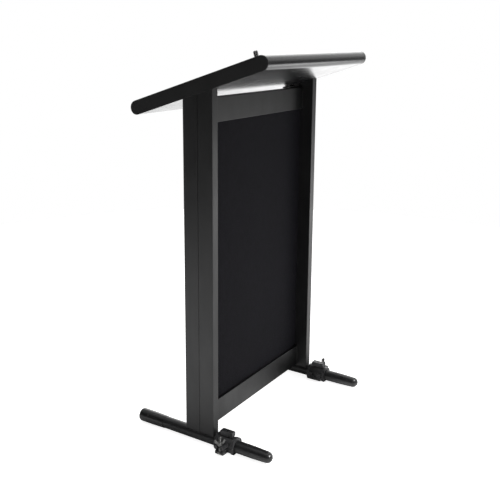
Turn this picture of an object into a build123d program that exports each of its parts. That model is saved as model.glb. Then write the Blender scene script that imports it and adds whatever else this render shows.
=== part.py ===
from build123d import *
from math import cos, radians, sin, tan
import os

# Presentation lectern: a tilted reading desk on two twin-post sides, each standing on a foot tube
# that runs front to back. A cloth-faced panel fills the frame, and a pipe clamp sits on each tube.
# Millimetres. +X runs along the width, -Y faces the audience, +Z is up, and the floor is Z = 0.

os.makedirs("parts", exist_ok=True)

# ---- driving sizes ----
overall_width = 612.0

tube_radius = 18.3
tube_wall = 2.0
tube_rear_y = 235.3
tube_front_y = -178.0
floor_gap = 2.0             # under the foot tube: the caps and the clamps stand on the floor

post_width = 27.0
post_depth = 49.7
post_seam = 0.6             # between the front and the rear post of one side
post_wall = 2.0
post_front_y = -46.6
post_corner = 1.2

rail_height = 71.0
rail_depth = 25.0
rail_wall = 2.0
bottom_rail_gap = 1.3       # above the foot tubes
top_rail_gap = 12.6         # below the desk's underside, at the seam between the posts

desk_tilt = 17.73
desk_thickness = 41.2
desk_run = 441.7            # between the axes of the front and rear noses
desk_front_y = -199.2       # front nose axis
desk_front_z = 1131.4
desk_skin_wall = 1.0
desk_end_wall = 4.0

board_thickness = 9.0
cloth_thickness = 1.5
panel_recess = 7.0          # panel face behind the rails' front faces
bead_width = 10.0

cap_length = 96.0
cap_barrel = 50.0           # full-width length, before the taper to the mouth
cap_lip = 0.9
cap_end_wall = 3.0
cap_edge = 7.0
cap_screw_y = 202.0
cap_screw_angle = 40.0      # above the horizontal, on the outer side
cap_screw_head = 3.4
cap_screw_height = 1.6
cap_screw_shank = 1.8
cap_screw_length = 9.0

boot_tip_y = -242.0
boot_tip_radius = 16.8
boot_spigot = 35.0
boot_screw_y = -161.0
boot_screw_head = 4.0
boot_screw_height = 1.2
boot_screw_shank = 2.2
boot_screw_length = 9.0

stud_radius = 6.6
stud_height = 18.0
stud_from_end = 25.0        # stud axis from the desk's left end
stud_from_nose = 22.4       # stud axis behind the front nose axis
stud_bore_radius = 3.6
stud_bore_depth = 11.0
stem_radius = 5.0           # the thinner part of the stud, down in the desk
stem_depth = 22.0
flange_radius = 10.5
flange_wall = 2.5

bracket_wall = 3.0
bracket_leg = 30.0
bracket_length = 26.0
bracket_gap = 0.6           # between the top rail and the bracket's lower corner
bracket_screw_reach = 18.6  # screws from the bracket's corner, along each leg
bracket_screw_spacing = 14.6
bracket_screw_head = 3.6
bracket_screw_height = 2.0
bracket_screw_shank = 2.0
bracket_screw_length = 14.0

bead_screw_across = (-0.72, 0.0, 0.72)      # as shares of the half width between the posts
bead_screw_up = (0.08, 0.36, 0.64, 0.92)    # as shares of the side beads' height
bead_screw_head = 2.6
bead_screw_height = 1.2
bead_screw_shank = 1.4
bead_screw_length = 15.0

clamp_y = -89.0             # middle of the clamp along the tube
clamp_length = 66.0
clamp_radius = 25.0
clamp_flange_radius = 27.0
clamp_flange_length = 8.0
clamp_split = 1.2           # between the upper body and the lower jaw
pad_size = (17.0, 43.0, 14.5)
pad_top = 41.2              # above the tube's axis
pad_neck = (11.0, 30.0)
pad_hole_radius = 4.0
pad_hole_depth = 10.0
pad_screw_spacing = 30.0
pad_screw_sink = 4.0
pad_bevel = 2.0
pad_screw_head = 4.0
pad_screw_height = 3.4
pad_screw_shank = 2.5
pad_screw_tip = 2.8         # left between the screws' tips and the bore

bolt_reach = 41.0           # swing bolt axis from the tube's axis
bolt_pivot_drop = 9.0       # pivot below the tube's axis
bolt_radius = 4.0
bolt_length = 50.0          # pivot to tip
eye_radius = 7.0
eye_width = 9.0
seat_radius = 23.0          # fork seat, round about the bolt's pivot
fork_width = 30.0
fork_slot = 9.4
fork_end = 8.0              # fork beyond the bolt's axis
fork_thickness = 10.0
ear_wall = 8.0
nut_radius = 8.0
nut_height = 10.0
wing_span = 34.0
wing_height = 18.0
wing_thickness = 3.2
wing_turn = 50.0            # the wings' resting angle, mirrored side to side
nut_taper = 0.75            # hub radius at the top over the one at the base
wing_root = 0.6             # where the wings start, as a share of the hub radius

hinge_reach = 30.0
hinge_drop = 8.0
knuckle_radius = 7.0
knuckle_length = 16.0
pin_radius = 3.0
pin_head_wall = 2.0
pin_head_radius = 3.7

# ---- fits ----
weld_gap = 0.1
slip_fit = 0.1
running_fit = 0.06
side_gap = 0.4
nut_gap = 0.3

# ---- places that follow ----
tube_z = tube_radius + floor_gap
side_x = overall_width / 2 - post_width / 2
inner_x = overall_width / 2 - post_width
seam_y = post_front_y + post_depth + post_seam / 2
desk_radius = desk_thickness / 2
desk_end_x = overall_width / 2
desk_inner_x = desk_end_x - desk_end_wall
desk_mid_y = desk_front_y + desk_run / 2 * cos(radians(desk_tilt))
desk_mid_z = desk_front_z - desk_run / 2 * sin(radians(desk_tilt))
desk_plane = Plane(
    origin=(0, desk_mid_y, desk_mid_z),
    x_dir=(1, 0, 0),
    z_dir=(0, sin(radians(desk_tilt)), cos(radians(desk_tilt))),
)
SIDES = {"left": -1, "right": 1}


def underside_z(y):
    """Height of the desk's underside above the floor at depth y."""
    middle = desk_front_z - (y - desk_front_y) * tan(radians(desk_tilt))
    return middle - desk_radius / cos(radians(desk_tilt))


def underside_point(x, y, below=0.0):
    """A point on the desk's underside at width x and depth y, moved out of the desk by below."""
    slope = radians(desk_tilt)
    along = (y - desk_mid_y + desk_radius * sin(slope)) / cos(slope)
    return desk_plane.from_local_coords((x, along, -desk_radius - below))


bottom_rail_z = tube_z + tube_radius + bottom_rail_gap
top_rail_z = underside_z(seam_y) - top_rail_gap - rail_height
panel_bottom_z = bottom_rail_z + rail_height
rail_front_y = seam_y - rail_depth / 2
rail_rear_y = seam_y + rail_depth / 2
panel_front_y = rail_front_y + panel_recess
board_front_y = panel_front_y + cloth_thickness
board_rear_y = board_front_y + board_thickness
bead_depth = rail_rear_y - board_rear_y


def save(part, name):
    part.label = name
    export_step(part, f"parts/{name}.step")


# ---- fasteners ----
def screw_solid(plane, head_radius, head_height, shank_radius, length):
    """A pan-headed screw: its head stands out of the plane and its shank goes in."""
    with BuildPart() as screw:
        with BuildSketch(plane):
            Circle(head_radius)
        extrude(amount=head_height)
        crown = screw.faces().sort_by(Axis(plane.origin, plane.z_dir))[-1]
        chamfer(crown.edges(), head_height * 0.35)
        with BuildSketch(plane):
            Circle(shank_radius)
        extrude(amount=-length)
    return screw.part


def drill(planes, radius, depth):
    """Round bars to cut away as holes, each running down from its plane."""
    with BuildPart() as bars:
        for plane in planes:
            with BuildSketch(plane):
                Circle(radius)
            extrude(amount=-depth)
    return bars.part


def screw_group(name, planes, head_radius, head_height, shank_radius, length):
    screws = [screw_solid(p, head_radius, head_height, shank_radius, length) for p in planes]
    save(Compound(children=screws), name)


# ---- feet ----
def tube_plane(y):
    """Across the foot tube at depth y, centred on its axis; the axis of each side is x = 0 here."""
    return Plane(origin=(0, y, tube_z), x_dir=(1, 0, 0), z_dir=(0, -1, 0))


def radial_plane(x, y, angle, radius):
    """Touching a round bar of this radius at (x, y), facing outwards at an angle from +X."""
    out = (cos(radians(angle)), 0, sin(radians(angle)))
    origin = (x + radius * out[0], y, tube_z + radius * out[2])
    return Plane(origin=origin, x_dir=(0, 1, 0), z_dir=out)


def side_angle(sign, angle):
    """An angle above the outer horizontal, measured from +X."""
    return angle if sign > 0 else 180 - angle


cap_radius = tube_radius + floor_gap
cap_end_y = tube_rear_y + cap_end_wall
dome_y = boot_tip_y + boot_tip_radius
spigot_radius = tube_radius - tube_wall - slip_fit
spigot_y = tube_front_y + boot_spigot
cap_screw_planes = {}
boot_screw_planes = {}
for side, sign in SIDES.items():
    x = sign * side_x
    angle = side_angle(sign, cap_screw_angle)
    cap_screw_planes[side] = radial_plane(x, cap_screw_y, angle, cap_radius)
    boot_screw_planes[side] = radial_plane(x, boot_screw_y, 90, tube_radius)

for side, sign in SIDES.items():
    x = sign * side_x
    cap_hole = drill([cap_screw_planes[side]], cap_screw_shank + slip_fit, cap_radius)
    boot_hole = drill([boot_screw_planes[side]], boot_screw_shank + slip_fit, tube_radius)
    with BuildPart() as foot_tube:
        with BuildSketch(tube_plane(tube_rear_y)):
            with Locations((x, 0)):
                Circle(tube_radius)
                Circle(tube_radius - tube_wall, mode=Mode.SUBTRACT)
        extrude(amount=tube_rear_y - tube_front_y)
        add(cap_hole, mode=Mode.SUBTRACT)
        add(boot_hole, mode=Mode.SUBTRACT)
    save(foot_tube.part, f"foot_tube_{side}")

    with BuildPart() as rear_cap:
        with BuildSketch(Plane(origin=(x, 0, tube_z), x_dir=(1, 0, 0), z_dir=(0, 0, 1))):
            with BuildLine():
                Polyline((cap_radius, cap_end_y - cap_edge), (cap_radius, cap_end_y - cap_barrel),
                         (tube_radius + cap_lip, cap_end_y - cap_length),
                         (tube_radius + slip_fit, cap_end_y - cap_length),
                         (tube_radius + slip_fit, tube_rear_y), (0, tube_rear_y), (0, cap_end_y),
                         (cap_radius - cap_edge, cap_end_y))
                CenterArc((cap_radius - cap_edge, cap_end_y - cap_edge), cap_edge, 0, 90)
            make_face()
        revolve(axis=Axis((x, 0, tube_z), (0, 1, 0)))
        add(cap_hole, mode=Mode.SUBTRACT)
    save(rear_cap.part, f"rear_cap_{side}")

    with BuildPart() as front_boot:
        with BuildSketch(Plane(origin=(x, 0, tube_z), x_dir=(1, 0, 0), z_dir=(0, 0, 1))):
            with BuildLine():
                Polyline((0, spigot_y), (spigot_radius, spigot_y), (spigot_radius, tube_front_y),
                         (tube_radius, tube_front_y), (boot_tip_radius, dome_y))
                CenterArc((0, dome_y), boot_tip_radius, 0, -90)
                Line((0, boot_tip_y), (0, spigot_y))
            make_face()
        revolve(axis=Axis((x, 0, tube_z), (0, 1, 0)))
        add(boot_hole, mode=Mode.SUBTRACT)
    save(front_boot.part, f"front_boot_{side}")

screw_group("cap_screws", cap_screw_planes.values(), cap_screw_head, cap_screw_height,
            cap_screw_shank, cap_screw_length)
screw_group("boot_screws", boot_screw_planes.values(), boot_screw_head, boot_screw_height,
            boot_screw_shank, boot_screw_length)

# ---- uprights ----
# The desk brackets' screws: two into each rear post, two up into the desk.
bracket_lean = bracket_leg * sin(radians(desk_tilt))
bracket_y = rail_rear_y + bracket_gap + bracket_lean + bracket_length / 2 * cos(radians(desk_tilt))
bracket_screw_y = (bracket_y - bracket_screw_spacing / 2, bracket_y + bracket_screw_spacing / 2)
bracket_screw_z = underside_z(bracket_y) - bracket_screw_reach
post_hole_planes = {}
desk_hole_planes = {}
for side, sign in SIDES.items():
    face_x = sign * (inner_x - bracket_wall)
    hole_x = sign * (inner_x - bracket_screw_reach)
    post_hole_planes[side] = [
        Plane(origin=(face_x, y, bracket_screw_z), x_dir=(0, 1, 0), z_dir=(-sign, 0, 0))
        for y in bracket_screw_y
    ]
    desk_hole_planes[side] = [
        Plane(origin=underside_point(hole_x, y, bracket_wall), x_dir=desk_plane.x_dir,
              z_dir=-desk_plane.z_dir)
        for y in bracket_screw_y
    ]
all_desk_holes = [plane for planes in desk_hole_planes.values() for plane in planes]
all_post_holes = [plane for planes in post_hole_planes.values() for plane in planes]

# The panel beads' screws: into the rails above and below, and into the rear posts at the sides.
bead_y = board_rear_y + bead_depth / 2
top_bead_z = top_rail_z - bead_width
bottom_bead_z = panel_bottom_z + bead_width
bead_screw_x = [inner_x * share for share in bead_screw_across]
bead_screw_z = [bottom_bead_z + (top_bead_z - bottom_bead_z) * share for share in bead_screw_up]
bead_planes = {
    "top": [Plane(origin=(x, bead_y, top_bead_z), x_dir=(1, 0, 0), z_dir=(0, 0, -1))
            for x in bead_screw_x],
    "bottom": [Plane(origin=(x, bead_y, bottom_bead_z), x_dir=(1, 0, 0), z_dir=(0, 0, 1))
               for x in bead_screw_x],
    "left": [Plane(origin=(-inner_x + bead_width, bead_y, z), x_dir=(0, 1, 0), z_dir=(1, 0, 0))
             for z in bead_screw_z],
    "right": [Plane(origin=(inner_x - bead_width, bead_y, z), x_dir=(0, 1, 0), z_dir=(-1, 0, 0))
              for z in bead_screw_z],
}

bracket_hole_radius = bracket_screw_shank + slip_fit
bead_hole_radius = bead_screw_shank + slip_fit
for side, sign in SIDES.items():
    x = sign * side_x
    rows = {"front": post_front_y, "rear": post_front_y + post_depth + post_seam}
    for place, y in rows.items():
        middle_y = y + post_depth / 2
        with BuildPart() as post:
            with BuildSketch(Plane.XY.offset(tube_z)):
                with Locations((x, middle_y)):
                    RectangleRounded(post_width, post_depth, post_corner)
                    RectangleRounded(post_width - 2 * post_wall, post_depth - 2 * post_wall,
                                     post_corner / 2, mode=Mode.SUBTRACT)
            extrude(amount=desk_front_z)
            split(bisect_by=desk_plane.offset(-desk_radius - weld_gap), keep=Keep.BOTTOM)
            with BuildSketch(tube_plane(y + post_depth)):
                with Locations((x, 0)):
                    Circle(tube_radius + weld_gap)
            extrude(amount=post_depth, mode=Mode.SUBTRACT)
            if place == "rear":
                add(drill(post_hole_planes[side], bracket_hole_radius, bracket_screw_length),
                    mode=Mode.SUBTRACT)
                add(drill(bead_planes[side], bead_hole_radius, bead_screw_length + slip_fit),
                    mode=Mode.SUBTRACT)
        save(post.part, f"post_{place}_{side}")

    with BuildPart() as bracket:
        face_x = sign * inner_x
        leg_plane = Plane(origin=underside_point(face_x, bracket_y), x_dir=(-sign, 0, 0),
                          z_dir=-desk_plane.z_dir)
        with BuildSketch(leg_plane):
            with Locations((bracket_leg / 2, 0)):
                Rectangle(bracket_leg, bracket_length)
        extrude(amount=bracket_wall)
        with BuildSketch(leg_plane):
            with Locations((bracket_wall / 2, 0)):
                Rectangle(bracket_wall, bracket_length)
        extrude(amount=bracket_leg)
        add(drill(post_hole_planes[side], bracket_hole_radius, bracket_wall * 2), mode=Mode.SUBTRACT)
        add(drill(desk_hole_planes[side], bracket_hole_radius, bracket_wall * 2), mode=Mode.SUBTRACT)
    save(bracket.part, f"desk_bracket_{side}")

screw_group("bracket_screws", all_post_holes + all_desk_holes, bracket_screw_head,
            bracket_screw_height, bracket_screw_shank, bracket_screw_length)


# ---- rails and panel ----
def box_rail(bottom_z, holes):
    """A box-section rail between the two sides, open at its welded ends."""
    with BuildPart() as rail:
        with BuildSketch(Plane.YZ.offset(weld_gap - inner_x)):
            with Locations((seam_y, bottom_z + rail_height / 2)):
                RectangleRounded(rail_depth, rail_height, post_corner)
                RectangleRounded(rail_depth - 2 * rail_wall, rail_height - 2 * rail_wall,
                                 post_corner / 2, mode=Mode.SUBTRACT)
        extrude(amount=2 * (inner_x - weld_gap))
        add(drill(holes, bead_hole_radius, bead_screw_length + slip_fit), mode=Mode.SUBTRACT)
    return rail.part


save(box_rail(top_rail_z, bead_planes["top"]), "top_rail")
save(box_rail(bottom_rail_z, bead_planes["bottom"]), "bottom_rail")

opening_width = 2 * (inner_x - side_gap)
opening_height = top_rail_z - panel_bottom_z - 2 * side_gap
opening_mid_z = (top_rail_z + panel_bottom_z) / 2
for name, front_y, thickness in (("panel_cloth", panel_front_y, cloth_thickness),
                                 ("panel_board", board_front_y, board_thickness)):
    with BuildPart() as sheet:
        with BuildSketch(Plane(origin=(0, front_y, opening_mid_z), x_dir=(1, 0, 0), z_dir=(0, -1, 0))):
            Rectangle(opening_width, opening_height)
        extrude(amount=-thickness)
    save(sheet.part, name)

bead_boxes = {
    "top": (2 * inner_x, bead_width, 0, top_rail_z - bead_width / 2),
    "bottom": (2 * inner_x, bead_width, 0, panel_bottom_z + bead_width / 2),
    "left": (bead_width, top_bead_z - bottom_bead_z, -inner_x + bead_width / 2, opening_mid_z),
    "right": (bead_width, top_bead_z - bottom_bead_z, inner_x - bead_width / 2, opening_mid_z),
}
for place, (width, height, x, z) in bead_boxes.items():
    with BuildPart() as bead:
        with BuildSketch(Plane(origin=(0, board_rear_y, 0), x_dir=(1, 0, 0), z_dir=(0, -1, 0))):
            with Locations((x, z)):
                Rectangle(width - slip_fit, height - slip_fit)
        extrude(amount=-bead_depth)
        chamfer(bead.edges().group_by(Axis.Y)[-1], 1.0)
        add(drill(bead_planes[place], bead_hole_radius, bead_width * 2), mode=Mode.SUBTRACT)
    save(bead.part, f"panel_bead_{place}")

screw_group("bead_screws", [plane for planes in bead_planes.values() for plane in planes],
            bead_screw_head, bead_screw_height, bead_screw_shank, bead_screw_length)


# ---- desk ----
def desk_bar(radius, start_x, length):
    """A bar along the desk's width with the desk's full-round section."""
    with BuildPart() as bar:
        with BuildSketch(Plane(origin=(start_x, desk_mid_y, desk_mid_z),
                               x_dir=desk_plane.y_dir, z_dir=(1, 0, 0))):
            SlotCenterToCenter(desk_run, 2 * radius)
        extrude(amount=length)
    return bar.part


stud_plane = Plane(origin=desk_plane.from_local_coords(
    (stud_from_end - desk_end_x, stud_from_nose - desk_run / 2, desk_radius)),
    x_dir=desk_plane.x_dir, z_dir=desk_plane.z_dir)
core_radius = desk_radius - desk_skin_wall
with BuildPart() as desk_core:
    add(desk_bar(core_radius - weld_gap, -desk_inner_x, 2 * desk_inner_x))
    add(drill(all_desk_holes, bracket_hole_radius, bracket_screw_length + slip_fit), mode=Mode.SUBTRACT)
    add(drill([stud_plane], stem_radius + slip_fit, stem_depth + slip_fit), mode=Mode.SUBTRACT)
save(desk_core.part, "desk_core")

with BuildPart() as desk_skin:
    add(desk_bar(desk_radius, -desk_inner_x, 2 * desk_inner_x))
    add(desk_bar(core_radius, -desk_inner_x, 2 * desk_inner_x), mode=Mode.SUBTRACT)
    add(drill(all_desk_holes, bracket_hole_radius, bracket_screw_length), mode=Mode.SUBTRACT)
    add(drill([stud_plane], stem_radius + slip_fit, desk_skin_wall * 2), mode=Mode.SUBTRACT)
save(desk_skin.part, "desk_skin")

for side, sign in SIDES.items():
    start_x = desk_inner_x if sign > 0 else -desk_end_x
    with BuildPart() as desk_end:
        add(desk_bar(desk_radius, start_x, desk_end_wall))
        outer = desk_end.faces().sort_by(Axis.X)[-1 if sign > 0 else 0]
        fillet(outer.edges(), 0.6)
    save(desk_end.part, f"desk_end_{side}")

with BuildPart() as mic_flange:
    with BuildSketch(stud_plane):
        RegularPolygon(flange_radius, 6)
        Circle(stem_radius + slip_fit, mode=Mode.SUBTRACT)
    extrude(amount=flange_wall)
save(mic_flange.part, "mic_flange")

stud_foot = flange_wall + side_gap
with BuildPart() as mic_stud:
    with BuildSketch(stud_plane.offset(stud_foot)):
        Circle(stud_radius)
    extrude(amount=stud_height - stud_foot)
    chamfer(mic_stud.faces().sort_by(Axis(stud_plane.origin, stud_plane.z_dir))[-1].edges(), 1.0)
    with BuildSketch(stud_plane.offset(-stem_depth)):
        Circle(stem_radius)
    extrude(amount=stem_depth + stud_foot)
    with BuildSketch(stud_plane.offset(stud_height)):
        Circle(stud_bore_radius)
    extrude(amount=-stud_bore_depth, mode=Mode.SUBTRACT)
save(mic_stud.part, "mic_stud")


# ---- clamps ----
# Each clamp is drawn looking forwards, in the plane across the tube: u runs from the tube's axis
# towards the outside of the lectern, and v runs up.
pivot_v = -bolt_pivot_drop
seat_v = pivot_v + seat_radius
fork_gap_u = clamp_radius - 6.0
bore_radius = tube_radius + running_fit
jaw_foot_v = -tube_z


def across(sign):
    """The plane across one tube at the clamp, u outwards and v up, its normal along the tube."""
    return Plane(origin=(sign * side_x, clamp_y, tube_z), x_dir=(sign, 0, 0), z_dir=(0, -sign, 0))


def slab(sign, length, offset=0.0):
    """The plane across one end of a stretch of the clamp, to be extruded by its length."""
    return across(sign).offset(offset - length / 2)


def clamp_body(sign):
    """The upper half: a ribbed saddle with a fork for the bolt, hinge knuckles and a neck."""
    with BuildPart() as body:
        with BuildSketch(slab(sign, clamp_length)):
            Circle(clamp_radius)
        extrude(amount=clamp_length)
        for end in (-1, 1):
            offset = end * (clamp_length - clamp_flange_length) / 2
            with BuildSketch(slab(sign, clamp_flange_length, offset)):
                Circle(clamp_flange_radius)
            extrude(amount=clamp_flange_length)
        with BuildSketch(slab(sign, pad_neck[1])):
            with Locations((0, (pad_top - pad_size[2]) / 2)):
                Rectangle(pad_neck[0], pad_top - pad_size[2])
        extrude(amount=pad_neck[1])
        with BuildSketch(across(sign)):
            with Locations((0, -clamp_radius)):
                Rectangle(4 * clamp_radius, 2 * clamp_radius + clamp_split)
        extrude(amount=clamp_length, both=True, mode=Mode.SUBTRACT)
        # fork for the bolt
        with BuildSketch(slab(sign, fork_width)):
            with BuildLine():
                seat_low = seat_v - fork_thickness
                Polyline((fork_gap_u, seat_v), (fork_gap_u, seat_low),
                         (bolt_reach + fork_end, seat_low))
                edge_v = pivot_v + (seat_radius ** 2 - fork_end ** 2) ** 0.5
                Line((bolt_reach + fork_end, seat_low), (bolt_reach + fork_end, edge_v))
                RadiusArc((bolt_reach + fork_end, edge_v), (bolt_reach - fork_end, edge_v),
                          -seat_radius)
                Polyline((bolt_reach - fork_end, edge_v), (bolt_reach - fork_end - 2, seat_v - 1),
                         (fork_gap_u, seat_v))
            make_face()
        extrude(amount=fork_width)
        with BuildSketch(slab(sign, fork_slot)):
            with Locations((bolt_reach + 2 * bolt_radius, seat_v)):
                Rectangle(6 * bolt_radius + 1, 4 * fork_thickness)
        extrude(amount=fork_slot, mode=Mode.SUBTRACT)
        # outer knuckles of the hinge
        for end in (-1, 1):
            offset = end * (knuckle_length + side_gap)
            with BuildSketch(slab(sign, knuckle_length, offset)):
                with Locations((-hinge_reach, -hinge_drop)):
                    Circle(knuckle_radius)
                with Locations((-hinge_reach + 1, 0)):
                    Rectangle(2 * knuckle_radius - 2, 2 * hinge_drop)
                Circle(clamp_radius + side_gap, mode=Mode.SUBTRACT)
                with Locations((-clamp_radius - 1, (hinge_drop + clamp_split / 2) / 2)):
                    Rectangle(2 * knuckle_radius, hinge_drop - clamp_split / 2)
            extrude(amount=knuckle_length)
        with BuildSketch(across(sign)):
            with Locations((-hinge_reach, -hinge_drop)):
                Circle(pin_radius + slip_fit)
            Circle(bore_radius)
        extrude(amount=clamp_length, both=True, mode=Mode.SUBTRACT)
    return body.part


def clamp_jaw(sign):
    """The lower half: its underside is flat, because the lectern stands on it."""
    with BuildPart() as jaw:
        with BuildSketch(slab(sign, clamp_length)):
            Circle(clamp_radius)
        extrude(amount=clamp_length)
        for end in (-1, 1):
            offset = end * (clamp_length - clamp_flange_length) / 2
            with BuildSketch(slab(sign, clamp_flange_length, offset)):
                Circle(clamp_flange_radius)
            extrude(amount=clamp_flange_length)
        # ears for the bolt's eye
        for end in (-1, 1):
            offset = end * (eye_width / 2 + side_gap + ear_wall / 2)
            with BuildSketch(slab(sign, ear_wall, offset)):
                with Locations((bolt_reach, pivot_v)):
                    Circle(eye_radius)
                with Locations(((bolt_reach + fork_gap_u) / 2, pivot_v)):
                    Rectangle(bolt_reach - fork_gap_u, 2 * eye_radius)
            extrude(amount=ear_wall)
        # middle knuckle of the hinge
        with BuildSketch(slab(sign, knuckle_length - side_gap)):
            with Locations((-hinge_reach, -hinge_drop)):
                Circle(knuckle_radius)
            with Locations((-(hinge_reach + fork_gap_u) / 2, -hinge_drop)):
                Rectangle(hinge_reach - fork_gap_u, 2 * knuckle_radius - 2)
        extrude(amount=knuckle_length - side_gap)
        with BuildSketch(across(sign)):
            with Locations((0, clamp_radius * 2 - clamp_split / 2)):
                Rectangle(4 * clamp_radius, 4 * clamp_radius)
            with Locations((0, jaw_foot_v - clamp_radius)):
                Rectangle(4 * clamp_radius, 2 * clamp_radius)
            with Locations((-hinge_reach, -hinge_drop), (bolt_reach, pivot_v)):
                Circle(pin_radius + slip_fit)
            Circle(bore_radius)
        extrude(amount=clamp_length, both=True, mode=Mode.SUBTRACT)
    return jaw.part


def headed_pin(sign, u, v, grip):
    """A plain pin along the tube's direction with a flat head at each end."""
    with BuildPart() as pin:
        with BuildSketch(slab(sign, grip)):
            with Locations((u, v)):
                Circle(pin_radius)
        extrude(amount=grip)
        for end in (-1, 1):
            offset = end * (grip + pin_head_wall) / 2
            with BuildSketch(slab(sign, pin_head_wall, offset)):
                with Locations((u, v)):
                    Circle(pin_head_radius)
            extrude(amount=pin_head_wall)
    return pin.part


def pad_screw_planes(sign):
    sink_z = tube_z + pad_top - pad_screw_sink
    return [Plane(origin=(sign * side_x, clamp_y + dy, sink_z), x_dir=(1, 0, 0), z_dir=(0, 0, 1))
            for dy in (-pad_screw_spacing / 2, pad_screw_spacing / 2)]


def clamp_pad(sign):
    """The bevelled block on top, with a blind tapped hole between its two sunk screws."""
    top_z = tube_z + pad_top
    top = Plane(origin=(sign * side_x, clamp_y, top_z), x_dir=(1, 0, 0), z_dir=(0, 0, 1))
    with BuildPart() as pad:
        with BuildSketch(top):
            Rectangle(pad_size[0], pad_size[1])
        extrude(amount=-pad_size[2])
        chamfer(pad.edges().filter_by(Axis.X), pad_bevel)
        with BuildSketch(top):
            Circle(pad_hole_radius)
        extrude(amount=-pad_hole_depth, mode=Mode.SUBTRACT)
        with BuildSketch(top):
            with Locations((0, -pad_screw_spacing / 2), (0, pad_screw_spacing / 2)):
                Circle(pad_screw_head + side_gap)
        extrude(amount=-pad_screw_sink, mode=Mode.SUBTRACT)
        add(drill(pad_screw_planes(sign), pad_screw_shank + slip_fit, pad_size[2]), mode=Mode.SUBTRACT)
    return pad.part


def swing_bolt(sign):
    """An eye bolt that stands on its cross pin."""
    foot = Plane(origin=(sign * (side_x + bolt_reach), clamp_y, tube_z + pivot_v),
                 x_dir=(1, 0, 0), z_dir=(0, 0, 1))
    with BuildPart() as bolt:
        with BuildSketch(slab(sign, eye_width)):
            with Locations((bolt_reach, pivot_v)):
                Circle(eye_radius)
        extrude(amount=eye_width)
        with BuildSketch(foot):
            Circle(bolt_radius)
        extrude(amount=bolt_length)
        chamfer(bolt.faces().sort_by(Axis.Z)[-1].edges(), 0.8)
        with BuildSketch(slab(sign, eye_width + 2)):
            with Locations((bolt_reach, pivot_v)):
                Circle(pin_radius + running_fit)
        extrude(amount=eye_width + 2, mode=Mode.SUBTRACT)
    return bolt.part


def wing_nut(sign):
    """A conical hub with two wings that rise above it."""
    base = Plane(origin=(sign * (side_x + bolt_reach), clamp_y, tube_z + seat_v + nut_gap),
                 x_dir=(1, 0, 0), z_dir=(0, 0, 1))
    turn = radians(sign * wing_turn)
    wing_plane = Plane(origin=base.origin, x_dir=(cos(turn), sin(turn), 0),
                       z_dir=(sin(turn), -cos(turn), 0))
    with BuildPart() as nut:
        with BuildSketch(base):
            Circle(nut_radius)
        with BuildSketch(base.offset(nut_height)):
            Circle(nut_radius * nut_taper)
        loft()
        for flip in (-1, 1):
            with BuildSketch(wing_plane.offset(-wing_thickness / 2)):
                with BuildLine():
                    Polyline((flip * nut_radius * wing_root, 1.0), (flip * wing_span * 0.36, 2.5),
                             (flip * wing_span / 2, wing_height * 0.6),
                             (flip * wing_span / 2, wing_height * 0.85),
                             (flip * wing_span * 0.42, wing_height),
                             (flip * wing_span * 0.32, wing_height * 0.95),
                             (flip * nut_radius * wing_root, nut_height * 0.9),
                             (flip * nut_radius * wing_root, 1.0))
                make_face()
            extrude(amount=wing_thickness)
        with BuildSketch(base):
            Circle(bolt_radius + running_fit)
        extrude(amount=wing_height, mode=Mode.SUBTRACT)
    return nut.part


pad_screw_length = pad_top - pad_screw_sink - bore_radius - pad_screw_tip
hinge_grip = 3 * knuckle_length + 2 * side_gap
eye_grip = eye_width + 2 * side_gap + 2 * ear_wall
for side, sign in SIDES.items():
    with BuildPart() as body:
        add(clamp_body(sign))
        add(drill(pad_screw_planes(sign), pad_screw_shank + slip_fit, pad_screw_length + slip_fit),
            mode=Mode.SUBTRACT)
    save(body.part, f"clamp_body_{side}")
    save(clamp_jaw(sign), f"clamp_jaw_{side}")
    save(clamp_pad(sign), f"clamp_pad_{side}")
    screw_group(f"pad_screws_{side}", pad_screw_planes(sign), pad_screw_head, pad_screw_height,
                pad_screw_shank, pad_screw_length)
    save(headed_pin(sign, -hinge_reach, -hinge_drop, hinge_grip), f"hinge_pin_{side}")
    save(headed_pin(sign, bolt_reach, pivot_v, eye_grip), f"bolt_pin_{side}")
    save(swing_bolt(sign), f"swing_bolt_{side}")
    save(wing_nut(sign), f"wing_nut_{side}")
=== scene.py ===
import math

import bmesh
import bpy
import numpy as np
from mathutils import Matrix, Vector


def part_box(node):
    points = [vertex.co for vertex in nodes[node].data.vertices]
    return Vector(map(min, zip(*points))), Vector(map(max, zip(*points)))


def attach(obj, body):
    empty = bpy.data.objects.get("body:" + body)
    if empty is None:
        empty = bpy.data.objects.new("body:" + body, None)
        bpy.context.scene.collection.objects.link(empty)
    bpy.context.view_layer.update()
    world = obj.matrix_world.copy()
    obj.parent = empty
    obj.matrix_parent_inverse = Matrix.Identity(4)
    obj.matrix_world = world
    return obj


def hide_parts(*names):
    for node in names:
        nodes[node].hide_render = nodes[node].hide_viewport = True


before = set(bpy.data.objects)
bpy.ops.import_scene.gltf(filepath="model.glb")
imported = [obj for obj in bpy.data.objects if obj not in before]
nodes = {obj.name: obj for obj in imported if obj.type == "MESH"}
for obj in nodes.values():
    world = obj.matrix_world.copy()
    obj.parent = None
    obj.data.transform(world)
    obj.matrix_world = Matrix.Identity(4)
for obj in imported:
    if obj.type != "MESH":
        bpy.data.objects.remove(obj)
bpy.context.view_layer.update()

# All lengths are in metres.
scene = bpy.context.scene
SIDES = {"left": -1, "right": 1}


# ---------------------------------------------------------------- camera
CAMERA_PLACE = (-2.0011, -1.2254, 1.1984)
CAMERA_DIP = 12.486     # degrees below level
CAMERA_TURN = -56.152   # degrees about Z, from looking along Y


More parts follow.
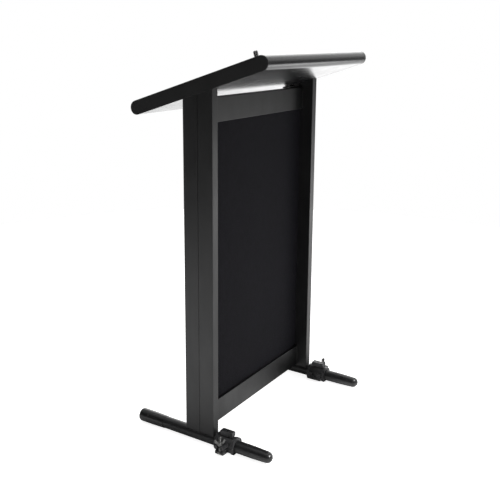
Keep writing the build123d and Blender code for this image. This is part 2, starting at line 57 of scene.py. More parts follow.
def make_camera():
    data = bpy.data.cameras.new("camera")
    data.sensor_width = 36.0
    data.lens = 54.84
    data.shift_x = 0.05
    data.shift_y = -0.09
    data.clip_start = 0.05
    data.clip_end = 60
    cam = bpy.data.objects.new("camera", data)
    scene.collection.objects.link(cam)
    cam.location = CAMERA_PLACE
    cam.rotation_euler = (math.radians(90 - CAMERA_DIP), 0, math.radians(CAMERA_TURN))
    scene.camera = cam


# ---------------------------------------------------------------- shader helpers
MIX_FACTOR, MIX_A, MIX_B, MIX_RESULT = 0, 6, 7, 2   # the mix node's sockets for colours
EDGE_FLAT, EDGE_SHARP = 0.995, 0.80                 # cosines between a face and its rounded normal


class Nodes:
    """A short way to write node trees."""

    def __init__(self, tree):
        self.tree = tree

    def set(self, socket, value):
        """Links a socket, or gives it a constant."""
        if isinstance(value, bpy.types.NodeSocket):
            self.tree.links.new(value, socket)
        else:
            socket.default_value = value

    def add(self, kind, inputs=None, **settings):
        n = self.tree.nodes.new(kind)
        for key, value in settings.items():
            setattr(n, key, value)
        for key, value in (inputs or {}).items():
            self.set(n.inputs[key], value)
        return n

    def noise(self, vector, scale, detail=3.0, roughness=0.5, distortion=0.0):
        inputs = {"Vector": vector, "Scale": scale, "Detail": detail,
                  "Roughness": roughness, "Distortion": distortion}
        return self.add("ShaderNodeTexNoise", inputs).outputs["Fac"]

    def stretch(self, vector, factors):
        n = self.add("ShaderNodeVectorMath", {0: vector, 1: factors}, operation="MULTIPLY")
        return n.outputs[0]

    def math(self, operation, a, b=0.0):
        return self.add("ShaderNodeMath", {0: a, 1: b}, operation=operation).outputs[0]

    def remap(self, value, low, high, to_low=0.0, to_high=1.0):
        inputs = {"Value": value, "From Min": low, "From Max": high,
                  "To Min": to_low, "To Max": to_high}
        return self.add("ShaderNodeMapRange", inputs).outputs["Result"]

    def mix(self, factor, a, b):
        """Colour a where factor is 0 and b where it is 1; a colour has three numbers."""
        n = self.add("ShaderNodeMix", {MIX_FACTOR: factor}, data_type="RGBA")
        for key, colour in ((MIX_A, a), (MIX_B, b)):
            fixed = isinstance(colour, tuple)
            self.set(n.inputs[key], (*colour, 1.0) if fixed else colour)
        return n.outputs[MIX_RESULT]

    def bump(self, height, strength, distance, normal=None):
        inputs = {"Height": height, "Strength": strength, "Distance": distance}
        if normal is not None:
            inputs["Normal"] = normal
        return self.add("ShaderNodeBump", inputs).outputs["Normal"]

    def edge(self, radius):
        """1 on a sharp edge and 0 on a flat face."""
        soft = self.add("ShaderNodeBevel", {"Radius": radius}, samples=4).outputs["Normal"]
        flat = self.add("ShaderNodeNewGeometry").outputs["Normal"]
        dot = self.add("ShaderNodeVectorMath", {0: soft, 1: flat}, operation="DOT_PRODUCT")
        return self.remap(dot.outputs["Value"], EDGE_FLAT, EDGE_SHARP)

    def worn(self, radius, patches, low, high, amount):
        """Patchy wear along sharp edges, from 0 to amount."""
        rubbed = self.math("MULTIPLY", self.edge(radius), self.remap(patches, low, high))
        return self.math("MULTIPLY", rubbed, amount)


def new_material(name, **constants):
    """A material whose principled shader has these constants.
    Returns it, its node helper, its shader and its object coordinates."""
    mat = bpy.data.materials.new(name)
    mat.use_nodes = True
    k = Nodes(mat.node_tree)
    shader = mat.node_tree.nodes["Principled BSDF"]
    for key, value in constants.items():
        shader.inputs[key.replace("_", " ")].default_value = value
    return mat, k, shader, k.add("ShaderNodeTexCoord").outputs["Object"]


def plug(k, shader, **links):
    """Links values to the shader's sockets of these names."""
    for key, value in links.items():
        k.tree.links.new(value, shader.inputs[key.replace("_", " ")])


# ---------------------------------------------------------------- materials
def powder_coat():
    dark, pale = (0.0085, 0.0085, 0.0090), (0.0125, 0.0125, 0.0130)
    speck, bare = (0.020, 0.020, 0.021), (0.085, 0.083, 0.080)
    mat, k, s, p = new_material("powder_coat", IOR=1.5)
    tone = k.remap(k.noise(p, scale=9.0, detail=4.0), 0.35, 0.65)
    fleck = k.remap(k.noise(p, scale=1400.0, detail=1.0), 0.62, 0.75)
    worn = k.worn(0.0012, k.noise(p, scale=60.0, detail=5.0), 0.48, 0.62, amount=0.55)
    colour = k.mix(fleck, k.mix(tone, dark, pale), speck)
    colour = k.mix(worn, colour, bare)
    streaks = k.noise(k.stretch(p, (1.0, 1.0, 0.35)), scale=26.0, detail=5.0)
    peel = k.noise(p, scale=620.0, detail=2.0)
    plug(k, s, Base_Color=colour, Roughness=k.remap(streaks, 0.3, 0.7, 0.37, 0.47),
         Normal=k.bump(peel, strength=0.16, distance=0.0004))
    return mat


def gloss_laminate():
    black, dusty = (0.0062, 0.0062, 0.0070), (0.045, 0.045, 0.045)
    mat, k, s, p = new_material("gloss_laminate", IOR=1.52)
    smear = k.noise(k.stretch(p, (1.0, 2.2, 2.2)), scale=11.0, detail=6.0, roughness=0.6,
                    distortion=1.2)
    dust = k.remap(k.noise(p, scale=1900.0, detail=1.0), 0.70, 0.78)
    hairs = k.noise(k.stretch(p, (14.0, 520.0, 520.0)), scale=1.0, detail=2.0)
    scratch = k.math("MULTIPLY", k.remap(hairs, 0.69, 0.74), 0.12)
    rough = k.math("ADD", k.remap(smear, 0.35, 0.7, 0.24, 0.28), scratch)
    wave = k.noise(k.stretch(p, (0.6, 1.0, 1.0)), scale=17.0, detail=2.0)
    fine = k.noise(p, scale=420.0, detail=2.0)
    waved = k.bump(wave, strength=0.09, distance=0.0006)
    plug(k, s, Base_Color=k.mix(dust, black, dusty), Roughness=rough,
         Normal=k.bump(fine, strength=0.015, distance=0.0002, normal=waved))
    return mat


def matte_edge():
    dark, pale, bare = (0.0070, 0.0070, 0.0072), (0.0100, 0.0100, 0.0102), (0.06, 0.06, 0.06)
    mat, k, s, p = new_material("matte_edge", IOR=1.45)
    tone = k.noise(p, scale=24.0, detail=5.0)
    grain = k.noise(p, scale=1100.0, detail=2.0)
    worn = k.worn(0.0010, k.noise(p, scale=85.0, detail=4.0), 0.5, 0.62, amount=0.5)
    colour = k.mix(worn, k.mix(k.remap(tone, 0.35, 0.65), dark, pale), bare)
    plug(k, s, Base_Color=colour, Roughness=k.remap(tone, 0.3, 0.7, 0.55, 0.68),
         Normal=k.bump(grain, strength=0.22, distance=0.0003))
    return mat


def moulded_plastic():
    dark, pale, scuffed = (0.0085, 0.0085, 0.0090), (0.0135, 0.0135, 0.0140), (0.045, 0.045, 0.045)
    mat, k, s, p = new_material("moulded_plastic", IOR=1.5)
    tone = k.noise(p, scale=40.0, detail=4.0)
    pores = k.noise(p, scale=900.0, detail=3.0)
    drag = k.noise(k.stretch(p, (1.0, 0.25, 1.0)), scale=120.0, detail=4.0)
    scuff = k.math("MULTIPLY", k.remap(drag, 0.62, 0.72), 0.4)
    colour = k.mix(scuff, k.mix(k.remap(tone, 0.3, 0.7), dark, pale), scuffed)
    plug(k, s, Base_Color=colour, Roughness=k.remap(tone, 0.3, 0.7, 0.27, 0.36),
         Normal=k.bump(pores, strength=0.14, distance=0.0003))
    return mat


def cast_metal():
    dark, pale, bare = (0.034, 0.034, 0.036), (0.070, 0.070, 0.073), (0.26, 0.25, 0.24)
    mat, k, s, p = new_material("cast_metal", Metallic=0.35, IOR=1.5)
    tone = k.noise(p, scale=55.0, detail=5.0)
    skin = k.noise(p, scale=760.0, detail=4.0, roughness=0.6)
    worn = k.worn(0.0011, k.noise(p, scale=130.0, detail=4.0), 0.42, 0.6, amount=0.8)
    colour = k.mix(worn, k.mix(k.remap(tone, 0.3, 0.7), dark, pale), bare)
    plug(k, s, Base_Color=colour, Roughness=k.remap(skin, 0.3, 0.7, 0.38, 0.52),
         Normal=k.bump(skin, strength=0.30, distance=0.0005))
    return mat


def zinc_steel(name, light, dark, roughness):
    mat, k, s, p = new_material(name, Metallic=1.0)
    cloud = k.noise(p, scale=210.0, detail=4.0)
    lines = k.noise(k.stretch(p, (1.0, 1.0, 9.0)), scale=700.0, detail=2.0)
    colour = k.mix(k.remap(cloud, 0.3, 0.7), (dark,) * 3, (light, light, light * 0.97))
    grime = k.math("MULTIPLY", k.remap(k.noise(p, scale=330.0), 0.58, 0.7), 0.5)
    colour = k.mix(grime, colour, (dark * 0.3,) * 3)
    rough = k.remap(cloud, 0.3, 0.7, roughness - 0.06, roughness + 0.08)
    plug(k, s, Base_Color=colour, Roughness=rough,
         Normal=k.bump(lines, strength=0.12, distance=0.0002))
    return mat


def fibreboard(name, light, dark):
    mat, k, s, p = new_material(name, Specular_IOR_Level=0.2)
    fibre = k.noise(k.stretch(p, (1.0, 1.0, 3.0)), scale=500.0, detail=4.0, roughness=0.7)
    cloud = k.math("MULTIPLY", k.noise(p, scale=14.0, detail=4.0), 0.4)
    colour = k.mix(cloud, k.mix(fibre, dark, light), dark)
    plug(k, s, Base_Color=colour, Roughness=k.remap(fibre, 0.3, 0.7, 0.7, 0.85),
         Normal=k.bump(fibre, strength=0.3, distance=0.0003))
    return mat


def woven_cloth():
    yarn_pair = 0.0026   # the weave's repeat
    shade, thread, fluff = (0.0014, 0.0012, 0.0024), (0.0064, 0.0056, 0.0105), (0.020, 0.019, 0.024)
    faded = (0.0040, 0.0036, 0.0085)
    mat, k, s, p = new_material("woven_cloth", Sheen_Weight=0.04, Sheen_Roughness=0.5,
                                Specular_IOR_Level=0.15)
    split = k.add("ShaderNodeSeparateXYZ", {0: p})
    warp, weft = (k.math("SINE", k.math("MULTIPLY", split.outputs[axis], 2 * math.pi / yarn_pair))
                  for axis in ("X", "Z"))
    weave = k.remap(k.math("MULTIPLY", warp, weft), -1.0, 1.0)
    slub = k.noise(k.stretch(p, (420.0, 420.0, 55.0)), scale=1.0, detail=4.0, roughness=0.65)
    pill = k.noise(p, scale=240.0, detail=4.0, roughness=0.7)
    cloud = k.math("MULTIPLY", k.noise(p, scale=7.0), 0.5)
    colour = k.mix(k.remap(slub, 0.35, 0.65), shade, thread)
    colour = k.mix(k.remap(pill, 0.60, 0.78, 0.0, 0.5), colour, fluff)
    colour = k.mix(cloud, colour, faded)
    height = k.math("ADD", weave, k.math("MULTIPLY", slub, 0.8))
    plug(k, s, Base_Color=colour, Roughness=k.remap(weave, 0.0, 1.0, 0.80, 0.95),
         Normal=k.bump(height, strength=0.6, distance=0.0004))
    return mat


coat = powder_coat()
gloss = gloss_laminate()
edge_band = matte_edge()
plastic = moulded_plastic()
casting = cast_metal()
zinc = zinc_steel("black_zinc", light=0.30, dark=0.16, roughness=0.34)
dull_zinc = zinc_steel("dull_zinc", light=0.26, dark=0.13, roughness=0.38)
plastic_screw = zinc_steel("dark_screw", light=0.16, dark=0.09, roughness=0.36)
turned = zinc_steel("turned_steel", light=0.48, dark=0.30, roughness=0.26)
board = fibreboard("stained_board", light=(0.020, 0.018, 0.016), dark=(0.010, 0.009, 0.008))
core = fibreboard("desk_core_board", light=(0.36, 0.27, 0.18), dark=(0.22, 0.16, 0.10))
cloth = woven_cloth()

# The look of each CAD node, by the start of its name; the rest, such as pins and screws, are zinc.
CAD_LOOKS = {
    "foot_tube": coat, "post_": coat, "top_rail": coat, "bottom_rail": coat,
    "desk_bracket": coat, "panel_board": board, "panel_cloth": cloth, "panel_bead": plastic,
    "desk_core": core, "desk_skin": gloss, "desk_end": edge_band, "rear_cap": plastic,
    "front_boot": plastic, "clamp_": casting, "mic_": turned, "wing_nut": dull_zinc,
}


def dress_cad():
    for name, obj in nodes.items():
        look = next((m for key, m in CAD_LOOKS.items() if name.startswith(key)), zinc)
        if not obj.material_slots:
            obj.data.materials.append(look)
        for slot in obj.material_slots:
            slot.material = look


# ---------------------------------------------------------------- mesh helpers
THREAD_ROOT, THREAD_FLANK = 0.12, 0.76   # the thread's flat root and sloping flank, in half pitches
RINGS_PER_TURN = 8


def new_piece(name, solid, look, body, smooth):
    """Makes a solid into a piece; edges sharper than smooth degrees stay sharp."""
    mesh = bpy.data.meshes.new(name)
    mesh.from_pydata([tuple(v) for v in solid.verts], [], solid.faces)
    bm = bmesh.new()
    bm.from_mesh(mesh)
    bmesh.ops.remove_doubles(bm, verts=bm.verts, dist=1e-7)
    bmesh.ops.recalc_face_normals(bm, faces=bm.faces)
    bm.to_mesh(mesh)
    bm.free()
    mesh.materials.append(look)
    mesh.shade_smooth()
    mesh.set_sharp_from_angle(angle=math.radians(smooth))
    obj = bpy.data.objects.new(name, mesh)
    scene.collection.objects.link(obj)
    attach(obj, body)
    return obj


def circle(radius, height, steps):
    """A level ring of points about Z."""
    angles = (2 * math.pi * i / steps for i in range(steps))
    return [(radius * math.cos(a), radius * math.sin(a), height) for a in angles]


def placed(origin, z_axis, x_hint=(1.0, 0.0, 0.0)):
    """A matrix with Z along z_axis and X as near x_hint as it can be."""
    z = Vector(z_axis).normalized()
    x = Vector(x_hint)
    x = (x - z * x.dot(z)).normalized()
    y = z.cross(x)
    m = Matrix((x, y, z)).transposed().to_4x4()
    m.translation = Vector(origin)
    return m


class Solid:
    """Vertices and faces gathered for one piece, each part placed by a matrix."""

    def __init__(self):
        self.verts, self.faces = [], []

    def add(self, verts, faces, place=None):
        base = len(self.verts)
        for v in verts:
            v = Vector(v)
            self.verts.append(place @ v if place else v)
        self.faces += [tuple(base + i for i in f) for f in faces]

    def rings(self, rings, place=None, closed=False):
        """Skins a list of equal rings of points: a loop of them if closed, or else capped."""
        n, count = len(rings[0]), len(rings)
        verts = [p for ring in rings for p in ring]
        faces = []
        for r in range(count if closed else count - 1):
            a, b = r * n, ((r + 1) % count) * n
            faces += [(a + i, a + (i + 1) % n, b + (i + 1) % n, b + i) for i in range(n)]
        if not closed:
            faces += [tuple(range(n)), tuple((count - 1) * n + i for i in range(n))]
        self.add(verts, faces, place)

    def revolve(self, profile, place, steps, closed=False):
        """Turns (radius, height) points about Z."""
        self.rings([circle(r, z, steps) for r, z in profile], place, closed)

    def thread(self, crest, depth, pitch, low, high, place, steps=28, bore=None):
        """A threaded rod from low to high, run out at both ends.
        A bore is the radius of a hole in its top, and the height of the hole's floor."""
        rings = []
        count = int((high - low) / pitch * RINGS_PER_TURN)
        for j in range(count + 1):
            z = low + (high - low) * j / count
            fade = min(1.0, (z - low) / pitch, (high - z) / pitch)
            ring = []
            for i in range(steps):
                a = 2 * math.pi * i / steps
                phase = (z / pitch - i / steps) % 1.0
                tooth = (abs(2 * phase - 1) - THREAD_ROOT) / THREAD_FLANK
                tooth = min(1.0, max(0.0, tooth))
                r = crest - depth * (1 - tooth * fade)
                ring.append((r * math.cos(a), r * math.sin(a), z))
            rings.append(ring)
        tip = high + depth * 0.5
        rings.append(circle(crest - depth * 1.3, tip, steps))
        if bore:
            radius, floor = bore
            hole = ((radius + 0.0004, tip), (radius, high), (radius, floor))
            rings += [circle(r, z, steps) for r, z in hole]
        self.rings(rings, place)


# ---------------------------------------------------------------- screws
SKEW = (0.31, 0.52, 0.79)   # a direction that no screw's axis is parallel to
# Rings of a pan head, as shares of its radius and height, and of its cross recess, as shares of
# the recess's radius and depth.
PAN_HEAD = ((1.0, 0.0), (1.0, 0.45), (0.93, 0.78), (0.78, 0.95), (0.66, 1.0))
RECESS = ((1.0, 0.02), (0.93, 0.55), (0.72, 1.0))
RECESS_SIZE = 0.62          # the recess's radius and depth, as shares of the head's
ARM = 0.30                  # half the width of the cross's arms, as a share of the recess's radius
ARM_REACH = 0.8             # cosine within which a point belongs to an arm
DIAGONAL = 0.7071


def islands(obj):
    """The separate solids of a CAD node: each one's points, and its largest flat face's normal."""
    mesh = obj.data
    parent = list(range(len(mesh.vertices)))

    def find(i):
        while parent[i] != i:
            parent[i] = parent[parent[i]]
            i = parent[i]
        return i

    merged = {}
    for v in mesh.vertices:
        key = tuple(round(c, 6) for c in v.co)
        if key in merged:
            parent[find(v.index)] = find(merged[key])
        merged[key] = v.index
    for e in mesh.edges:
        parent[find(e.vertices[0])] = find(e.vertices[1])
    points, areas = {}, {}
    for v in mesh.vertices:
        points.setdefault(find(v.index), []).append(tuple(v.co))
    for face in mesh.polygons:
        group = areas.setdefault(find(face.vertices[0]), {})
        key = tuple(round(c, 2) for c in face.normal)
        area, normal = group.get(key, (0.0, face.normal))
        group[key] = (area + face.area, normal)
    largest = {g: max(areas[g].values(), key=lambda a: a[0])[1] for g in points}
    return [(np.array(points[g]), np.array(largest[g])) for g in points]


def screw_place(points, axis):
    """Where one plain screw sits: its seat, the way its head faces, its head's radius and height,
    and its shank's length."""
    axis = axis / np.linalg.norm(axis)
    across = np.cross(axis, SKEW)
    across = across / np.linalg.norm(across)
    centre = np.zeros(3)
    for side in (across, np.cross(axis, across)):
        reach = points @ side
        centre = centre + side * (reach.max() + reach.min()) / 2
        head = (reach.max() - reach.min()) / 2
    along = points @ axis
    away = np.linalg.norm(points - centre - np.outer(along, axis), axis=1)
    seat = along[away > head * 0.95].min()
    return Vector(centre + axis * seat), Vector(axis), head, along.max() - seat, seat - along.min()


def cross_ring(radius, height, steps):
    """A ring in the shape of a cross with its arms along X and Y."""
    ring = []
    for i in range(steps):
        a = 2 * math.pi * i / steps
        less, more = sorted((abs(math.cos(a)), abs(math.sin(a))))
        r = radius * (min(1.0, ARM / max(1e-6, less)) if more > ARM_REACH else ARM / DIAGONAL)
        ring.append((r * math.cos(a), r * math.sin(a), height))
    return ring


def cross_screw(solid, origin, axis, head, height, length):
    """A pan head with a cross recess, and its threaded shank."""
    place = placed(origin, axis, SKEW)
    steps = 48
    recess, depth = head * RECESS_SIZE, height * RECESS_SIZE
    rings = [circle(head * r, height * z, steps) for r, z in PAN_HEAD]
    rings += [cross_ring(recess * r, height - depth * drop, steps) for r, drop in RECESS]
    solid.rings(rings, place)
    solid.thread(crest=head * 0.52, depth=head * 0.10, pitch=head * 0.34, low=-length, high=0.0,
                 place=place, steps=16)


def make_screws():
    riders = {"cap_screws": ("stand", plastic_screw), "boot_screws": ("stand", plastic_screw),
              "bracket_screws": ("stand", zinc), "bead_screws": ("stand", zinc),
              "pad_screws_left": ("clamp_left", zinc), "pad_screws_right": ("clamp_right", zinc)}
    for node, (body, look) in riders.items():
        solid = Solid()
        for points, axis in islands(nodes[node]):
            cross_screw(solid, *screw_place(points, axis))
        piece = new_piece(node + "_cross_head", solid, look, body, smooth=30.0)
        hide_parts(node)


# ---------------------------------------------------------------- clamp bolts and wing nuts
EYE_BORE = 0.00308   # radius, a free fit on the pin
EYE_EDGE = 0.0011    # rounding of the eye's outer rims
EYE_MOUTH = 0.0005   # chamfer at both ends of the bore
NUT_BORE = 0.00406
NUT_MOUTH = 0.0004
# (radius, height) round the nut's barrel, from the outside of its foot up to its top.
NUT_BARREL = ((0.0078, 0.0), (0.0080, 0.0006), (0.0079, 0.0018), (0.0068, 0.0045),
              (0.0061, 0.0085), (0.0057, 0.0098), (0.0052, 0.0101))
NUT_TOP = 0.0101
# Sections of a wing from its root to its tip: distance out, height, half height, half thickness.
NUT_WING = ((0.0050, 0.0045, 0.0032, 0.0021), (0.0072, 0.0058, 0.0040, 0.0019),
            (0.0094, 0.0080, 0.0046, 0.0017), (0.0116, 0.0108, 0.0052, 0.0016),
            (0.0135, 0.0130, 0.0050, 0.0016), (0.0150, 0.0142, 0.0036, 0.0015),
            (0.0160, 0.0148, 0.0018, 0.0010))
WING_SQUARE = 0.75   # a power below 1 makes a wing's round section squarer
WING_LEAN = 0.27     # how far a section leans in per unit of height


def make_bolts():
    for side in SIDES:
        low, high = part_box(f"swing_bolt_{side}")
        pin_low, pin_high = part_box(f"bolt_pin_{side}")
        pivot = (pin_low + pin_high) / 2
        eye = pivot.z - low.z
        half = (high.y - low.y) / 2
        solid = Solid()
        turn = placed(pivot, (0, 1, 0))
        r, mouth = EYE_EDGE, EYE_BORE + EYE_MOUTH
        profile = [(mouth, -half), (eye - r, -half), (eye - r * 0.3, -half + r * 0.3),
                   (eye, -half + r), (eye, half - r), (eye - r * 0.3, half - r * 0.3),
                   (eye - r, half), (mouth, half), (EYE_BORE, half - EYE_MOUTH),
                   (EYE_BORE, -half + EYE_MOUTH)]
        solid.revolve(profile, turn, 40, closed=True)
        up = placed(pivot, (0, 0, 1))
        neck = [(0.0041, eye * 0.80), (0.0039, eye), (0.0039, 0.0135), (0.0035, 0.0142)]
        solid.revolve(neck, up, 28)
        solid.thread(crest=0.0040, depth=0.00055, pitch=0.00125, low=0.0138,
                     high=high.z - pivot.z - 0.0004, place=up)
        piece = new_piece(f"eye_bolt_{side}", solid, zinc, f"bolt_{side}", smooth=35.0)
        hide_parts(f"swing_bolt_{side}")


def wing_ring(flip, out, up, half_tall, half_thick, top, steps=20):
    """One section of a wing, kept below top."""
    ring = []
    for i in range(steps):
        a = 2 * math.pi * i / steps
        ca, sa = math.cos(a), math.sin(a)
        h = math.copysign(abs(sa) ** WING_SQUARE, sa) * half_tall
        w = math.copysign(abs(ca) ** WING_SQUARE, ca) * half_thick
        ring.append((flip * (out - WING_LEAN * h), w, min(up + h, top)))
    return ring


def make_wing_nuts():
    for side, sign in SIDES.items():
        low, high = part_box(f"wing_nut_{side}")
        pin_low, pin_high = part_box(f"bolt_pin_{side}")
        axis_x, axis_y = (pin_low.x + pin_high.x) / 2, (pin_low.y + pin_high.y) / 2
        turn = sign * math.atan2(high.y - low.y, high.x - low.x)
        place = placed((axis_x, axis_y, low.z), (0, 0, 1), (math.cos(turn), math.sin(turn), 0))
        solid = Solid()
        mouth = NUT_BORE + NUT_MOUTH
        profile = [(mouth, 0.0), *NUT_BARREL, (mouth, NUT_TOP), (NUT_BORE, NUT_TOP - NUT_MOUTH),
                   (NUT_BORE, NUT_MOUTH)]
        solid.revolve(profile, place, 36, closed=True)
        top = high.z - low.z - 0.0001
        for flip in (-1, 1):
            solid.rings([wing_ring(flip, *section, top) for section in NUT_WING], place)
        piece = new_piece(f"cast_wing_nut_{side}", solid, dull_zinc, f"nut_{side}",
                          smooth=50.0)
        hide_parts(f"wing_nut_{side}")


# ---------------------------------------------------------------- microphone stud
def desk_tilt():
    """The desk's slope, from the vertices of its left end plate."""
    points = np.array([v.co for v in nodes["desk_end_left"].data.vertices])[:, 1:]
    axis = np.linalg.svd(points - points.mean(0))[2][0]
    return abs(math.atan2(axis[1], axis[0]) if axis[0] > 0 else math.atan2(-axis[1], -axis[0]))


def make_stud():
    """The threaded stud above the desk, and its plain stem inside it."""
    tilt = desk_tilt()
    axis = Vector((0, math.sin(tilt), math.cos(tilt)))
    points = np.array([v.co for v in nodes["mic_stud"].data.vertices])
    along = points @ np.array(axis)
    top = along.max()
    tip = Vector(points[along > top - 1e-5].mean(0))
    place = placed(tip, axis)
    solid = Solid()
    solid.thread(crest=0.0066, depth=0.0007, pitch=0.00141, low=-0.0148, high=-0.0004,
                 place=place, steps=40, bore=(0.0036, -0.011))
    stem = 0.0050
    solid.revolve([(stem, along.min() - top), (stem, -0.0147)], place, 40)
    piece = new_piece("threaded_stud", solid, turned, "stand", smooth=35.0)
    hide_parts("mic_stud")


# ---------------------------------------------------------------- panel cloth
CLOTH_COLUMNS, CLOTH_ROWS = 140, 212
CLOTH_ROLL = 0.0012     # how far in from its rim the cloth begins to turn over the board's edge
# The two rows at each end that turn over: what is left of the roll, and the depth behind the rim.
CLOTH_TURN = ((0.3, 0.0005), (0.0, 0.0014))
CLOTH_FACE = 0.0004     # depth of the flat face
CLOTH_RIPPLE = 0.00030  # height of the pull marks at the rim
CLOTH_PULL = 0.035      # how far in from the rim they fade


def cloth_row(k, n, low, high):
    """Row k of n from low to high: its place on the flat face, its place in the finished cloth,
    and how far back it is turned."""
    start, end = low + CLOTH_ROLL, high - CLOTH_ROLL
    flat = start + (end - start) * min(1.0, max(0.0, (k - 2) / (n - 4)))
    step = max(2 - k, k - (n - 2))
    if step < 1:
        return flat, flat, 0.0
    share, back = CLOTH_TURN[step - 1]
    return flat, (low + CLOTH_ROLL * share if k < 2 else high - CLOTH_ROLL * share), back


def make_panel_cloth():
    low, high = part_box("panel_cloth")
    solid = Solid()
    rng = np.random.default_rng(7)
    waves = [(rng.uniform(18, 60), rng.uniform(0, 6.28), rng.uniform(0.5, 1.0)) for _ in range(9)]
    for j in range(CLOTH_ROWS + 1):
        flat_z, z, z_back = cloth_row(j, CLOTH_ROWS, low.z, high.z)
        for i in range(CLOTH_COLUMNS + 1):
            flat_x, x, x_back = cloth_row(i, CLOTH_COLUMNS, low.x, high.x)
            rim = min(flat_x - low.x, high.x - flat_x, flat_z - low.z, high.z - flat_z)
            slant = flat_x + flat_z * 0.3
            ripple = sum(w * math.sin(f * slant * 3 + p) for f, p, w in waves) / len(waves)
            y = low.y + CLOTH_FACE + CLOTH_RIPPLE * math.exp(-rim / CLOTH_PULL) * ripple
            solid.verts.append((x, max(y, low.y + x_back, low.y + z_back), z))
    across = CLOTH_COLUMNS + 1
    for j in range(CLOTH_ROWS):
        for i in range(CLOTH_COLUMNS):
            a = j * across + i
            solid.faces.append((a, a + 1, a + across + 1, a + across))
    piece = new_piece("stretched_cloth", solid, cloth, "stand", smooth=80.0)
    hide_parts("panel_cloth")


# ---------------------------------------------------------------- weld beads
BEAD_POINTS = 7          # points across a bead's face
BEAD_SPACING = 0.0016    # between rings along a bead
BEAD_REACH = 1.3         # scales a bead's face about its corner
RAIL_BEAD = 0.0026       # sizes of the beads
POST_BEAD = 0.0024
FRONT_BEAD = 0.0012      # smaller, to clear the clamp at the end of its slide
ARC_SPANS = 24


def weld_bead(solid, start, end, side_a, side_b, size):
    """A rippled fillet from start to end, in the corner that side_a and side_b lead away from."""
    start, end, side_a, side_b = (Vector(v) for v in (start, end, side_a, side_b))
    run = end - start
    count = max(4, int(run.length / BEAD_SPACING))
    rings = []
    for j in range(count + 1):
        t = j / count
        ripple = 1.0 + 0.10 * math.sin(j * 2.1) + 0.05 * math.sin(j * 0.37 + start.x * 50)
        fade = min(1.0, 6 * t + 0.25, 6 * (1 - t) + 0.25)
        s = size * ripple * fade
        c = start + run * t
        ring = []
        for i in range(BEAD_POINTS):
            a = math.pi / 2 * i / (BEAD_POINTS - 1)
            bulge = 0.62 + 0.10 * math.sin(2 * a)
            reach_a = side_a * s * math.cos(a) * bulge * BEAD_REACH
            reach_b = side_b * s * math.sin(a) * bulge * BEAD_REACH
            ring.append(c + reach_a + reach_b)
        ring.append(c - (side_a + side_b) * size * 0.10)
        rings.append(ring)
    solid.rings(rings)


def make_welds():
    """Beads round both ends of both rails."""
    solid = Solid()
    gap = 0.002
    for rail in ("top_rail", "bottom_rail"):
        low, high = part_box(rail)
        for x, inward in ((low.x, 1), (high.x, -1)):
            side = (inward, 0, 0)
            for z, up in ((low.z, -1), (high.z, 1)):
                weld_bead(solid, (x, low.y + gap, z), (x, high.y - gap, z), side, (0, 0, up),
                          RAIL_BEAD)
            for y, out in ((low.y, -1), (high.y, 1)):
                weld_bead(solid, (x, y, low.z + gap), (x, y, high.z - gap), side, (0, out, 0),
                          RAIL_BEAD)
    new_piece("rail_welds", solid, coat, "stand", smooth=60.0)


def make_saddle_welds():
    """Beads round the foot of each pair of posts, where they sit on the foot tube."""
    solid = Solid()
    gap, root = 0.001, 0.0002
    for side in SIDES:
        tube_low, tube_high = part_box(f"foot_tube_{side}")
        radius = (tube_high.x - tube_low.x) / 2
        cx, cz = (tube_low.x + tube_high.x) / 2, (tube_low.z + tube_high.z) / 2
        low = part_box(f"post_front_{side}")[0]
        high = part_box(f"post_rear_{side}")[1]
        half = (high.x - low.x) / 2
        drop = math.sqrt(radius ** 2 - half ** 2)
        for x, out in ((-half, -1), (half, 1)):
            weld_bead(solid, (cx + x, low.y + gap, cz + drop), (cx + x, high.y - gap, cz + drop),
                      (out, 0, 0.2), (0, 0, 1), POST_BEAD)
        reach = math.asin(half / radius)
        for y, out, size in ((low.y, -1, FRONT_BEAD), (high.y, 1, POST_BEAD)):
            face = Vector((0, out, 0))
            rings = []
            for j in range(ARC_SPANS + 1):
                a = -reach + 2 * reach * j / ARC_SPANS
                normal = Vector((math.sin(a), 0, math.cos(a)))
                c = Vector((cx, y, cz)) + normal * radius
                s = size * (1.0 + 0.12 * math.sin(j * 1.9))
                angles = [math.pi / 2 * i / (BEAD_POINTS - 1) for i in range(BEAD_POINTS)]
                ring = [c + face * s * math.cos(b) + normal * s * math.sin(b) for b in angles]
                ring.append(c - face * root - normal * root)
                rings.append(ring)
            solid.rings(rings)
    new_piece("saddle_welds", solid, coat, "stand", smooth=60.0)


# ---------------------------------------------------------------- stage
FLOOR_MIDDLE, FLOOR_RADIUS, FLOOR_STEPS = (0.3, 0.2), 2.6, 96
FLOOR_LIT, FLOOR_SEEN = 0.75, 0.88   # strength of the floor's glow on the object, and as seen
SHADE_START, SHADE_END = 0.07, 0.24  # distances from a foot tube over which that glow returns
# Soft lobes of light in the surroundings: direction, the cosines from it where the lobe starts
# and where it is full, and strength. The first is the backdrop behind the object, then come the
# light overhead, the one on the right and the high one behind.
LOBES = (((0.81, 0.59, -0.15), 0.55, 0.90, 2.6), ((0.1, 0.1, 1.0), 0.60, 0.95, 0.5),
         ((0.81, -0.59, 0.0), 0.70, 0.97, 0.14), ((0.83, -0.05, 0.50), 0.78, 0.97, 0.9))
ROOM_LEVEL = 0.06
BOOT_SPOTS = {"left": (-0.15, -2.8, 1.75), "right": (0.05, -1.9, 2.45)}


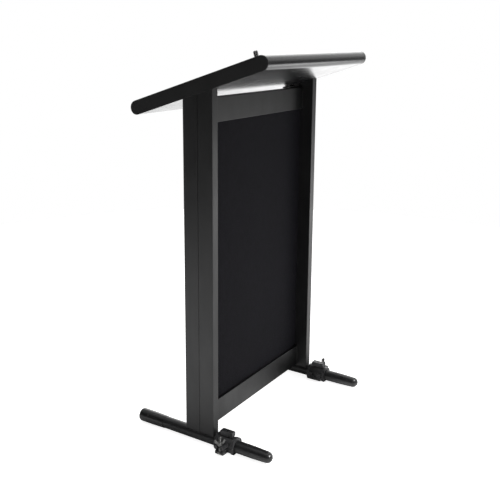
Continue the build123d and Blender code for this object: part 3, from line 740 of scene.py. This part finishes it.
def make_floor():
    """A pale disc that glows a little, but not close to the foot tubes, where it would light them
    from below."""
    mesh = bpy.data.meshes.new("floor")
    cx, cy = FLOOR_MIDDLE
    rim = [(cx + x, cy + y, z) for x, y, z in circle(FLOOR_RADIUS, 0.0, FLOOR_STEPS)]
    mesh.from_pydata(rim, [], [tuple(range(FLOOR_STEPS))])
    floor = bpy.data.objects.new("floor", mesh)
    scene.collection.objects.link(floor)
    mat, k, s, p = new_material("studio_floor", Roughness=0.9, Specular_IOR_Level=0.1,
                                Emission_Color=(1, 1, 1, 1))
    tone = k.noise(p, scale=3.0)
    plug(k, s, Base_Color=k.mix(tone, (0.86, 0.86, 0.86), (0.90, 0.90, 0.90)))
    near = None
    for side in SIDES:
        tube_low, tube_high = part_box(f"foot_tube_{side}")
        middle = (tube_low + tube_high) / 2
        offset = k.add("ShaderNodeVectorMath", {0: p, 1: (middle.x, middle.y, 0.0)},
                       operation="SUBTRACT")
        scaled = k.stretch(offset.outputs[0], (1.0, 0.40, 0.0))
        away = k.add("ShaderNodeVectorMath", {0: scaled}, operation="LENGTH").outputs["Value"]
        lit = k.remap(away, SHADE_START, SHADE_END)
        near = lit if near is None else k.math("MULTIPLY", near, lit)
    seen = k.add("ShaderNodeLightPath").outputs["Is Camera Ray"]
    glow = k.math("MAXIMUM", k.math("MULTIPLY", near, FLOOR_LIT),
                  k.math("MULTIPLY", seen, FLOOR_SEEN))
    plug(k, s, Emission_Strength=glow)
    mesh.materials.append(mat)


def add_light(name, kind, place, aim, power, **settings):
    """A light at place, turned towards aim."""
    data = bpy.data.lights.new(name, kind)
    data.energy = power
    for key, value in settings.items():
        setattr(data, key, value)
    light = bpy.data.objects.new(name, data)
    scene.collection.objects.link(light)
    light.location = place
    light.rotation_euler = (Vector(aim) - Vector(place)).to_track_quat("-Z", "Y").to_euler()


def make_surroundings():
    """Plain white to the camera; to everything else, a dim room with soft lobes of light."""
    world = bpy.data.worlds.new("studio")
    world.use_nodes = True
    scene.world = world
    world.node_tree.nodes.clear()
    k = Nodes(world.node_tree)
    ray = k.add("ShaderNodeTexCoord").outputs["Generated"]
    level = ROOM_LEVEL
    for direction, start, full, strength in LOBES:
        aim = tuple(Vector(direction).normalized())
        dot = k.add("ShaderNodeVectorMath", {0: ray, 1: aim}, operation="DOT_PRODUCT")
        lobe = k.add("ShaderNodeMapRange", {"Value": dot.outputs["Value"], "From Min": start,
                                            "From Max": full, "To Min": 0.0, "To Max": 1.0},
                     interpolation_type="SMOOTHSTEP").outputs["Result"]
        level = k.math("ADD", k.math("MULTIPLY", lobe, strength), level)
    room = k.add("ShaderNodeBackground", {"Color": (1, 1, 1, 1), "Strength": level})
    white = k.add("ShaderNodeBackground", {"Color": (1, 1, 1, 1), "Strength": 1.0})
    seen = k.add("ShaderNodeLightPath").outputs["Is Camera Ray"]
    both = k.add("ShaderNodeMixShader", {0: seen, 1: room.outputs[0], 2: white.outputs[0]})
    k.add("ShaderNodeOutputWorld", {"Surface": both.outputs[0]})


def make_lights():
    add_light("key", "AREA", (1.9, -1.15, 0.30), (0.2, -0.1, 0.3), power=4.4,
              shape="RECTANGLE", size=0.8, size_y=0.5)
    add_light("overhead", "AREA", (0.2, 0.3, 3.2), (0.1, 0.1, 0.0), power=30.0,
              shape="RECTANGLE", size=2.4, size_y=2.4)
    add_light("by_camera", "AREA", (-2.0, -1.7, 2.1), (0.0, -0.2, 0.2), power=1.2,
              shape="DISK", size=0.30)
    for side, place in BOOT_SPOTS.items():
        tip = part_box(f"front_boot_{side}")[0]
        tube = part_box(f"foot_tube_{side}")
        aim = ((tube[0].x + tube[1].x) / 2, tip.y - 0.010, (tube[0].z + tube[1].z) / 2)
        add_light(f"boot_spot_{side}", "SPOT", place, aim, power=450.0,
                  spot_size=math.radians(4.6), spot_blend=0.7, shadow_soft_size=0.05)


make_camera()
dress_cad()
make_panel_cloth()
make_screws()
make_bolts()
make_wing_nuts()
make_stud()
make_welds()
make_saddle_welds()
make_floor()
make_surroundings()
make_lights()
scene.view_settings.view_transform = "Standard"
